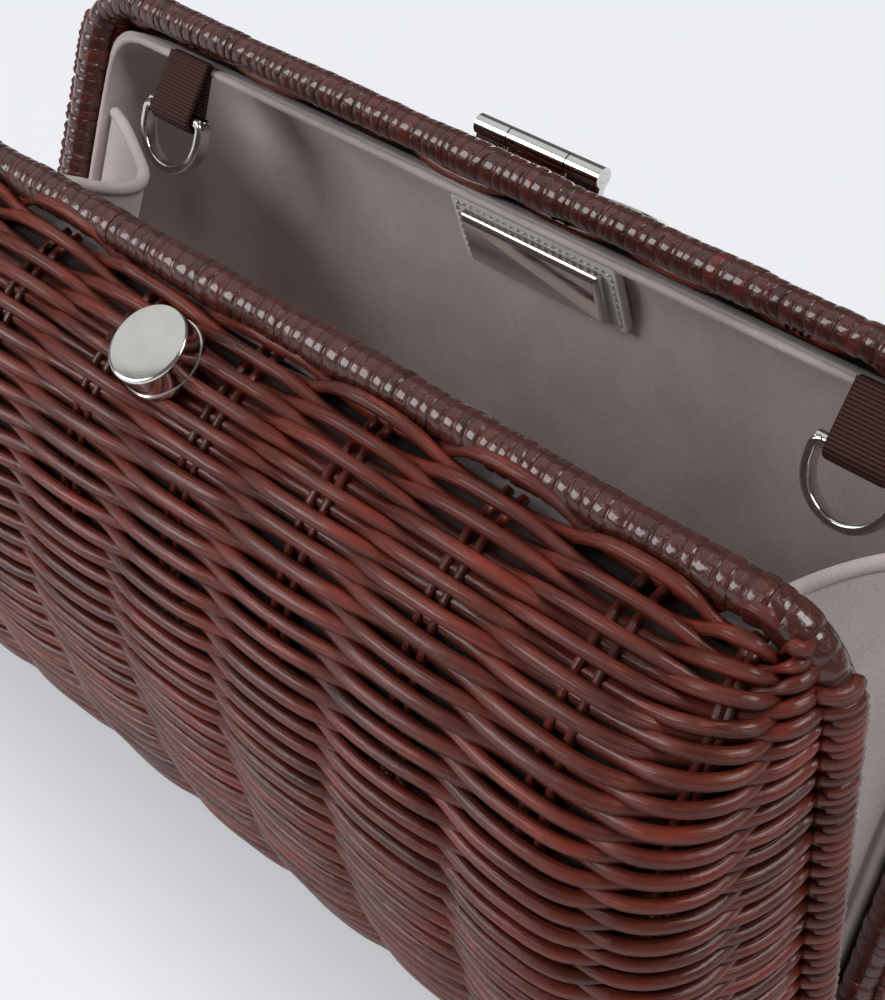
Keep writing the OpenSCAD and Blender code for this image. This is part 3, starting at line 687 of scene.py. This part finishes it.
def slab(inner, outer):
    """Points and faces of a closed slab between two grids."""
    rows, cols = inner.shape[:2]
    near, far = border(rows, cols), border(rows, cols, rows * cols)
    strip = np.stack([near, np.roll(near, -1), np.roll(far, -1), far], 1)
    faces = np.concatenate([grid_quads(rows, cols), grid_quads(rows, cols, rows * cols), strip])
    return np.concatenate([inner.reshape(-1, 3), outer.reshape(-1, 3)]), faces.tolist()


lining_corners = 1 + np.linspace(0, 1, 15)[1:]
lining_columns = np.concatenate([-lining_corners[::-1], np.linspace(-1, 1, 61), lining_corners])
for half, stand in halves:
    inside = lining_net(lining_t, lining_rows, lining_columns)
    outside = lining_net(0.0, lining_rows, lining_columns)
    points, faces = slab(inside, outside)
    edge = border(*inside.shape[:2])
    lip = (inside.reshape(-1, 3)[edge] + outside.reshape(-1, 3)[edge]) / 2
    lip = lip[np.linalg.norm(np.roll(lip, -1, 0) - lip, axis=1) > 0.05 * MM]
    run = np.concatenate([[0], np.cumsum(np.linalg.norm(np.diff(lip, axis=0, append=lip[:1]), axis=1))])
    even = np.linspace(0, run[-1], lip_points, endpoint=False)
    ring = np.stack([np.interp(even, run, np.append(lip[:, k], lip[0, k])) for k in range(3)], 1)
    for _ in range(6):
        ring = (np.roll(ring, 1, 0) + 2 * ring + np.roll(ring, -1, 0)) / 4
    line = np.roll(ring, -1, 0) - np.roll(ring, 1, 0)
    line /= np.linalg.norm(line, axis=1, keepdims=True)
    toward = np.tile([0, -1.0, 0], (len(ring), 1))
    puff = (1 + 0.07 * np.sin(even / (9 * MM)) + 0.06 * np.sin(even / (3.7 * MM)))[:, None]
    roll = sweep(ring, toward * puff, np.cross(line, toward) * puff, oval(2 * lip_r, 2 * lip_r, lip_sides))
    roll_faces = ring_quads(len(ring), lip_sides, loop=True, first=len(points)).tolist()
    make_piece(half + "_suede", stand(np.concatenate([points, roll.reshape(-1, 3)])), faces + roll_faces,
               [lining_finish, lip_painted_shade_finish], half + "_half", [half + "_lining"],
               second=len(roll_faces))


# The gussets: a suede panel across each end that joins the two linings, folded inwards so that
# the bag can shut. Its top edge is turned over and stands up in an arch on both sides of the fold.
gusset_t = 1.2 * MM
gusset_top = 82 * MM
gusset_fold = {"left": 28 * MM, "right": 20 * MM}
gusset_dip = {"left": 2.5 * MM, "right": 6 * MM}
gusset_arch = {"left": 4 * MM, "right": 6 * MM}
gusset_belly = 1.5 * MM
gusset_seam = 1 * MM
gusset_foot = lining_foot + lining_t + 2 * gusset_t
gusset_inset = gusset_t / 2 + 0.9 * MM
fold_share = {"left": 0.28, "right": 0.5}
hem_r = 1.15 * MM
hem_sides = 12
gusset_rows = 40


def rounded(line, times):
    """A line with its inner corners cut round."""
    for _ in range(times):
        cut = np.empty((2 * len(line), 3))
        cut[0], cut[-1] = line[0], line[-1]
        cut[1:-1:2] = 0.75 * line[:-1] + 0.25 * line[1:]
        cut[2:-1:2] = 0.25 * line[:-1] + 0.75 * line[1:]
        line = cut
    return line


for name, side in (("left", -1), ("right", 1)):
    lines = []
    for t in np.linspace(0, 1, gusset_rows):
        h = gusset_foot + (gusset_top - gusset_foot) * t
        reach = reach_at(h, lining_l - lining_t, lining_corner_r, lining_foot + lining_t, rim_h)
        x = side * (reach - gusset_inset)
        b = stand_back([x, gusset_seam, h])
        f = stand_front([x, gusset_seam, h])
        fold = b + (f - b) * fold_share[name] - np.array([side * gusset_fold[name] * math.sqrt(t), 0,
                                                            gusset_dip[name] * t])
        bulge = np.array([side * gusset_belly * t, 0, gusset_arch[name] * t])
        lines.append(rounded(np.array([b, (b + fold) / 2 + bulge, fold, (f + fold) / 2 + bulge, f]), 3))
    net = np.array(lines)
    face = np.cross(np.gradient(net, axis=1), np.gradient(net, axis=0))
    face /= np.maximum(np.linalg.norm(face, axis=-1, keepdims=True), 1e-9)
    points, faces = slab(net - face * gusset_t / 2, net + face * gusset_t / 2)
    top = net[-1]
    line = np.gradient(top, axis=0)
    line /= np.linalg.norm(line, axis=1, keepdims=True)
    out = np.cross(line, [0, 0, 1.0])
    out /= np.linalg.norm(out, axis=1, keepdims=True)
    hem = sweep(top, out, np.cross(out, line), oval(2 * hem_r, 2 * hem_r, hem_sides))
    hem_faces = ring_quads(len(top), hem_sides, first=len(points)).tolist()
    points = np.concatenate([points, hem.reshape(-1, 3)])
    gusset = make_piece(name + "_gusset_suede", points, faces + hem_faces, [lining_finish, lip_painted_shade_finish],
                        replaces=[name + "_gusset"], second=len(hem_faces))
    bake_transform(gusset)


# The tabs: grosgrain ribbon folded round the strap ring's bar, with its two ends sewn together up
# under the back rim. The ribs run across the ribbon.
tab_at = rim_l / 2 - 27.3 * MM
tab_w = 10 * MM
tab_t = 0.9 * MM
tab_drop = 11 * MM
tab_lean = 2.2 * MM
bar_d = 2.4 * MM
bar_h = rim_h - rim_r - tab_drop
fold_mid = bar_d / 2 + 0.3 * MM + tab_t / 2
sewn_d = -0.3 * MM - tab_t / 2
tab_top = rim_h - rim_r - 0.3 * MM - tab_t / 2
rib_pitch = 0.62
warp_pitch = 0.22
ribbon_sides = 20
ribbon_square = 0.22

ribbon_finish = bpy.data.materials.new("grosgrain")
ribbon_finish.use_nodes = True
tree = ribbon_finish.node_tree
shader = tree.nodes["Principled BSDF"]
thread = add_node(tree, "ShaderNodeAttribute", attribute_name="grain").outputs["Vector"]
along = add_node(tree, "ShaderNodeSeparateXYZ", {0: thread})
ribs = add_node(tree, "ShaderNodeMath",
                {0: along.outputs["X"], 1: 2 * math.pi / rib_pitch}, operation="MULTIPLY")
ribs = add_node(tree, "ShaderNodeMath", {0: ribs.outputs[0]}, operation="SINE")
warp = add_node(tree, "ShaderNodeMath",
                {0: along.outputs["Y"], 1: 2 * math.pi / warp_pitch}, operation="MULTIPLY")
warp = add_node(tree, "ShaderNodeMath", {0: warp.outputs[0]}, operation="SINE")
weft = add_node(tree, "ShaderNodeMath",
                {0: warp.outputs[0], 1: 0.22, 2: ribs.outputs[0]}, operation="MULTIPLY_ADD")
fuzz = add_node(tree, "ShaderNodeTexNoise", {"Vector": thread, "Scale": 3.0, "Detail": 3.0})
# The tone follows the ribs, lighter on their crests and darker between them (painted shade), and varies at
# random with the fuzz.
fuzz_and_painted_rib_shade = add_node(tree, "ShaderNodeMath",
                 {0: fuzz.outputs["Fac"], 1: 1.6, 2: ribs.outputs[0]}, operation="MULTIPLY_ADD")
fuzz_and_painted_rib_shade = add_node(tree, "ShaderNodeMapRange", {"Value": fuzz_and_painted_rib_shade.outputs[0], "From Min": -0.8, "From Max": 2.2})
tone = add_node(tree, "ShaderNodeValToRGB", {"Fac": fuzz_and_painted_rib_shade.outputs[0]})
tone.color_ramp.elements[0].color = (0.016, 0.0055, 0.0042, 1)
tone.color_ramp.elements[1].color = (0.078, 0.024, 0.0175, 1)
tree.links.new(tone.outputs[0], shader.inputs["Base Color"])
raised = add_node(tree, "ShaderNodeBump", {"Height": weft.outputs[0], "Strength": 0.7, "Distance": 0.00012})
tree.links.new(raised.outputs[0], shader.inputs["Normal"])
shader.inputs["Roughness"].default_value = 0.65
shader.inputs["Specular IOR Level"].default_value = 0.3

under = np.linspace(0, -math.pi, 19)
path = np.concatenate([
    np.linspace([sewn_d, tab_top], [-tab_lean + fold_mid, bar_h], 24)[:-1],
    np.stack([-tab_lean + fold_mid * np.cos(under), bar_h + fold_mid * np.sin(under)], 1),
    np.linspace([-tab_lean - fold_mid, bar_h], [sewn_d - 0.9 * tab_t, tab_top], 24)[1:]])
for _ in range(2):
    path[1:-1] = (path[:-2] + 2 * path[1:-1] + path[2:]) / 4
step = np.gradient(path, axis=0)
step /= np.linalg.norm(step, axis=1, keepdims=True)
ribbon_run = np.concatenate([[0], np.cumsum(np.linalg.norm(np.diff(path, axis=0), axis=1))]) / MM
half_edge = np.array([tab_w, tab_t]) / 2
ribbon_edge = oval(tab_w, tab_t, ribbon_sides)
ribbon_edge = np.sign(ribbon_edge) * np.abs(ribbon_edge / half_edge) ** ribbon_square * half_edge
for name, side in (("left", -1), ("right", 1)):
    rise = np.stack([0 * step[:, 0], -step[:, 1], step[:, 0]], 1)
    centre = np.stack([np.full(len(path), side * tab_at), path[:, 0], path[:, 1]], 1)
    ribbon = sweep(centre, np.tile([1.0, 0, 0], (len(path), 1)), rise, ribbon_edge)
    faces = ring_quads(len(path), ribbon_sides).tolist()
    last = ribbon_sides * (len(path) - 1)
    faces += [list(range(ribbon_sides)), list(range(last, last + ribbon_sides))]
    grain = np.stack(np.broadcast_arrays(ribbon_run[:, None], ribbon_edge[None, :, 0] / MM, 3.0 * side), -1)
    make_piece(name + "_ribbon", stand_back(ribbon.reshape(-1, 3)), faces, [ribbon_finish],
               "back_half", [name + "_tab"], grain=grain, crease=50)


# The strap rings: a flat nickel band bent to a D and closed by a round bar, which turns in the
# ribbon's fold.
ring_w = 16 * MM
ring_band = 3 * MM
ring_t = 1.6 * MM
ring_leg = 3 * MM
ring_turn = 1.2 * MM
ring_edge = 0.55 * MM
bar_sides = 24


def nickel(name, roughness):
    """Polished nickel with the faint hairlines and finger marks of use."""
    finish = bpy.data.materials.new(name)
    finish.use_nodes = True
    tree = finish.node_tree
    shader = tree.nodes["Principled BSDF"]
    place = add_node(tree, "ShaderNodeTexCoord").outputs["Object"]
    stretched = add_node(tree, "ShaderNodeVectorMath", {0: place, 1: (60, 900, 900)}, operation="MULTIPLY")
    hairs = add_node(tree, "ShaderNodeTexNoise",
                     {"Vector": stretched.outputs[0], "Scale": 3.0, "Detail": 4.0})
    shine = add_node(tree, "ShaderNodeMapRange", {"Value": hairs.outputs["Fac"], "To Min": roughness - 0.05,
                                                  "To Max": roughness + 0.07})
    tree.links.new(shine.outputs[0], shader.inputs["Roughness"])
    marks = add_node(tree, "ShaderNodeTexNoise", {"Vector": place, "Scale": 180.0, "Detail": 3.0})
    tone = add_node(tree, "ShaderNodeValToRGB", {"Fac": marks.outputs["Fac"]})
    tone.color_ramp.elements[0].color = (0.60, 0.58, 0.555, 1)
    tone.color_ramp.elements[1].color = (0.78, 0.76, 0.735, 1)
    tree.links.new(tone.outputs[0], shader.inputs["Base Color"])
    shader.inputs["Metallic"].default_value = 1.0
    return finish


nickel_finish = nickel("polished_nickel", 0.1)


def rounded_box(width, height, corner, steps=3):
    """The outline of a rectangle with round corners."""
    turn = np.linspace(0, math.pi / 2, steps + 1)
    points = []
    for k, (sx, sy) in enumerate(((1, 1), (-1, 1), (-1, -1), (1, -1))):
        a = turn + k * math.pi / 2
        points.append(np.stack([sx * (width / 2 - corner) + corner * np.cos(a),
                                sy * (height / 2 - corner) + corner * np.sin(a)], 1))
    return np.concatenate(points)


bow = ring_w / 2 - ring_t / 2
bend = np.linspace(0, -math.pi, 33)
elbow = np.linspace(math.pi / 2, 0, 7)
elbow = np.stack([bow - ring_turn + ring_turn * np.cos(elbow), ring_turn * np.sin(elbow) - ring_turn], 1)
bend = np.stack([bow * np.cos(bend), bow * np.sin(bend) - ring_leg], 1)
path = np.concatenate([elbow, bend, elbow[::-1] * [-1, 1]])
step = np.gradient(path, axis=0)
step /= np.linalg.norm(step, axis=1, keepdims=True)
band_edge = rounded_box(ring_band, ring_t, ring_edge, 4)
bar_edge = oval(bar_d, bar_d, bar_sides)
for name, side in (("left", -1), ("right", 1)):
    place = np.array([side * tab_at, -tab_lean, bar_h])
    centre = place + np.stack([path[:, 0], 0 * path[:, 0], path[:, 1]], 1)
    rise = np.stack([-step[:, 1], 0 * step[:, 0], step[:, 0]], 1)
    band = sweep(centre, np.tile([0, 1.0, 0], (len(path), 1)), rise, band_edge)
    sides = len(band_edge)
    faces = ring_quads(len(path), sides).tolist()
    faces += [list(range(sides)), list(range(sides * (len(path) - 1), sides * len(path)))]
    count = len(path) * sides
    bar = place + np.column_stack([np.repeat([-bow, bow], bar_sides), np.tile(bar_edge, (2, 1))])
    faces += ring_quads(2, bar_sides, first=count).tolist()
    points = stand_back(np.concatenate([band.reshape(-1, 3), bar]))
    make_piece(name + "_strap_ring", points, faces, [nickel_finish],
               name + "_ring", [name + "_d_ring"], crease=40)


# The knob: a polished drum with a thin base ring, standing on the front shoulder. A screw holds it
# from behind the weave.
knob_at = 12 * MM
knob_seat = 1.08 * MM
knob_sides = 64
knob_profile = np.array([
    (0, -0.6), (6.1, -0.6), (6.25, -0.45), (6.25, 0.3), (6.21, 0.42), (6.1, 0.47), (6.03, 0.5),
    (6.02, 0.6), (6.02, 3.95), (6.0, 4.1), (5.93, 4.24), (5.82, 4.33), (5.68, 4.37), (5.5, 4.38),
    (3.0, 4.4), (0, 4.41)]) * MM


def shoulder(depth, top, d):
    """Height of a half's shoulder at a depth, and the angle at which it falls there."""
    rise = lambda at: belly_h + (top - belly_h) * (1 - (at / depth) ** shoulder_n) ** (1 / shoulder_n)
    return rise(d), math.atan2(rise(d - 0.1 * MM) - rise(d + 0.1 * MM), 0.2 * MM)


knob_h_at, knob_fall = shoulder(shell_depth, crown, knob_at)
knob_up = np.array([0, math.sin(knob_fall), math.cos(knob_fall)])
knob_out = np.array([0, math.cos(knob_fall), -math.sin(knob_fall)])
turns = np.linspace(0, 2 * math.pi, knob_sides, endpoint=False)
spoke = np.cos(turns)[:, None] * np.array([1.0, 0, 0]) + np.sin(turns)[:, None] * knob_out
points = (np.array([0, knob_at, knob_h_at]) + (knob_seat + knob_profile[:, 1])[:, None, None] * knob_up
          + knob_profile[:, 0][:, None, None] * spoke)
faces = ring_quads(len(knob_profile), knob_sides).tolist()
make_piece("knob_drum", stand_front(points.reshape(-1, 3)), faces, [nickel_finish],
           "front_half", ["knob"], crease=40)


# The label on the back lining: a patch of pale brushed leather, sewn round its edge with silver
# thread, and a bare bevelled nickel plate on it.
label_at = 17 * MM
label_sag = 1.8 * MM
patch_l, patch_h, patch_t = 36 * MM, 15 * MM, 0.8 * MM
plate_l, plate_h, plate_t = 30 * MM, 11 * MM, 2 * MM
plate_bevel = 0.8 * MM
stitch_pitch = 1.5 * MM
stitch_l = 1.15 * MM
stitch_r = 0.24 * MM
stitch_slant = 0.35 * MM
stitch_sides = 8
stitch_shape = ((0, 0.3, -0.12), (0.18, 0.85, 0.06), (0.5, 1.0, 0.16), (0.82, 0.85, 0.06), (1, 0.3, -0.12))
seam_in = 2.2 * MM

label_h, label_fall = shoulder(lining_depth - lining_t, lining_top - lining_t, label_at)
label_in = np.array([0, -math.sin(label_fall), -math.cos(label_fall)])
label_up = np.array([0, -math.cos(label_fall), math.sin(label_fall)])
label_mid = np.array([0, label_at, label_h]) + label_in * label_sag


def on_label(points):
    """Points given along the label, up it and out of it, where the back half stands."""
    points = np.asarray(points, float)
    along, rise, out = points[..., :1], points[..., 1:2], points[..., 2:]
    return stand_back(label_mid + along * [1, 0, 0] + rise * label_up + out * label_in)


def stack_outlines(length, height, levels):
    """A closed solid through outlines of one size. Each is set in and has its corners rounded by
    millimetres, and lies at a level."""
    rings = []
    for inset, corner, z in levels:
        outline = rounded_box(length - inset * MM, height - inset * MM, corner * MM, 4)
        rings.append(np.column_stack([outline, np.full(len(outline), z)]))
    sides = len(rings[0])
    faces = ring_quads(len(rings), sides).tolist()
    faces += [list(range(sides)), list(range(sides * (len(rings) - 1), sides * len(rings)))]
    return np.concatenate(rings), faces


patch, faces = stack_outlines(patch_l, patch_h, (
    (0.3, 0.8, -0.9 * MM), (0, 0.9, 0.2 * MM), (0, 0.9, patch_t - 0.25 * MM), (0.3, 0.8, patch_t - 0.05 * MM),
    (1.2, 0.6, patch_t), (3, 0.4, patch_t - 0.12 * MM), (5, 0.3, patch_t)))
label_finish = suede("label_leather", (0.68, 0.67, 0.66), (0.86, 0.85, 0.84), 0.3)
make_piece("label_suede", on_label(patch), faces, [label_finish], "back_half", ["label_patch"])

thread_finish = speckled("silver_thread", (0.55, 0.545, 0.55), (0.86, 0.855, 0.86), 1800.0, 2.0, 0.35, 0.5)
seam = rounded_box(patch_l - seam_in, patch_h - seam_in, 0.6 * MM, 6)
seam = np.concatenate([seam, seam[:1]])
run = np.concatenate([[0], np.cumsum(np.linalg.norm(np.diff(seam, axis=0), axis=1))])
stitches = int(run[-1] / stitch_pitch)
half_stitch = stitch_l / stitch_pitch / 2
around = np.linspace(0, 2 * math.pi, stitch_sides, endpoint=False)
points, faces = [], []
for k in range(stitches):
    ends = (k + np.array([0.5 - half_stitch, 0.5 + half_stitch])) * run[-1] / stitches
    begin, end = np.stack([np.interp(ends, run, seam[:, j]) for j in range(2)], 1)
    ahead = (end - begin) / np.linalg.norm(end - begin)
    aside = np.array([-ahead[1], ahead[0]])
    for share, size, level in stitch_shape:
        spot = begin + (end - begin) * share + aside * (share - 0.5) * stitch_slant
        flat = spot + np.cos(around)[:, None] * aside * stitch_r * size
        points.append(np.column_stack([flat, patch_t + level * MM + stitch_r * size * np.sin(around)]))
    first = k * len(stitch_shape) * stitch_sides
    faces += ring_quads(len(stitch_shape), stitch_sides, first=first).tolist()
make_piece("label_stitches", on_label(np.concatenate(points)), faces, [thread_finish],
           "back_half")

bevel_h = patch_t + plate_t - plate_bevel
plate, faces = stack_outlines(plate_l, plate_h, (
    (0, 0.3, patch_t - 0.1 * MM), (0, 0.3, bevel_h - 0.1 * MM), (0.16, 0.3, bevel_h + 0.02 * MM),
    (1.46, 0.3, patch_t + plate_t - 0.06 * MM), (1.7, 0.3, patch_t + plate_t)))
make_piece("label_bar", on_label(plate), faces, [nickel_finish], "back_half",
           ["label_plate"], crease=25)


# The hasp on the back shoulder and the knob's screw keep the shapes of their solids: a riveted
# plate with knuckles, its pin, and the arm with a round eye, folded back.
for node in ("hasp_plate", "hasp_rivets", "hasp_pin", "hasp_arm", "knob_screw"):
    slots = frame["nodes"][node].data.materials
    slots.clear()
    slots.append(nickel_finish)
